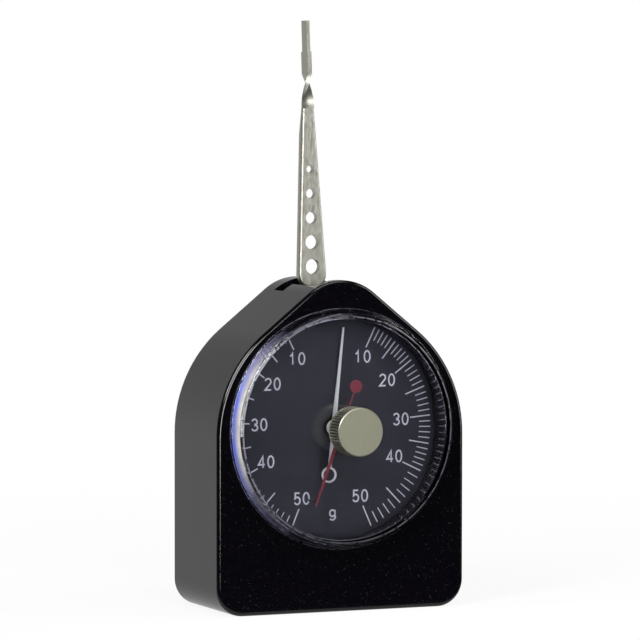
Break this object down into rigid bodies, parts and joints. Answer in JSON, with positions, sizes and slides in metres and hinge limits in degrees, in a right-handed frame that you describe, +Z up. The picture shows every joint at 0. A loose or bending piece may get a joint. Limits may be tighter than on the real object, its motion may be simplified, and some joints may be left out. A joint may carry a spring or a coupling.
{
  "type": "dial force gauge",
  "caption": "Hand-held dial force gauge: black house-shaped case, clear crystal over a two-way dial, tapered measuring arm, pointer, red memory pointer and reset knob.",
  "frame": {"origin": "middle of the flat base, halfway between the knob's face and the back cover", "axes": "+Z up along the measuring arm, +Y to the back, +X to the right seen from the front"},
  "size_m": [0.0566, 0.0342, 0.1248],
  "materials": {
    "black_case": "black with a faint orange-peel texture",
    "clear": "clear polished",
    "dial": "matt charcoal",
    "white": "matt white",
    "red": "matt red",
    "arm_steel": "satin",
    "steel": "satin",
    "spring": "blued",
    "nickel": "satin nickel",
    "brass": "satin",
    "bronze": "satin"
  },
  "bodies": {
    "case": {"case_body": "black_case", "back_cover": "black_case", "back_cover_screws": "steel", "crystal": "clear", "crystal_bush": "nickel", "bush_ring": "nickel", "dial_plate": "dial", "movement_front_plate": "brass", "movement_rear_plate": "brass", "movement_pillars": "brass", "rear_plate_screws": "steel", "movement_screws": "steel", "arm_bushes": "bronze", "pointer_bushes": "bronze", "stop_pins": "steel", "measuring_spring": "spring", "spring_stud": "brass", "hairspring": "spring", "hairspring_stud": "brass", "friction_washer": "spring"},
    "arm": {"measuring_arm": "arm_steel", "lever_plate": "steel", "lever_hub": "brass", "balance_weight": "brass", "arm_arbor": "steel", "sector_gear": "brass", "sector_hub": "brass", "spring_collet": "brass"},
    "pointer": {"pinion_arbor": "steel", "pointer": "white", "pointer_hub": "brass", "hairspring_collet": "brass"},
    "memory": {"reset_knob": "nickel", "knob_spindle": "steel", "memory_pointer": "red", "memory_hub": "brass", "drag_pin": "steel"}
  },
  "joints": [
    {"name": "arm_swing", "type": "hinge", "parent": "case", "child": "arm", "pos_m": [0, 0, 0.0582], "axis": [0, 1, 0], "range_deg": [-18.28, 19.72], "stiffness_Nm_per_rad": 0.096},
    {"name": "pointer_turn", "type": "hinge", "parent": "case", "child": "pointer", "pos_m": [0, 0, 0.03865], "axis": [0, 1, 0], "range_deg": [-163.5, 151.5]},
    {"name": "memory_turn", "type": "hinge", "parent": "case", "child": "memory", "pos_m": [0, 0, 0.03865], "axis": [0, 1, 0], "range_deg": [-190, 160]}
  ],
  "couplings": [
    {"joint": "pointer_turn", "follows": "arm_swing", "ratio": -8.2857}
  ]
}
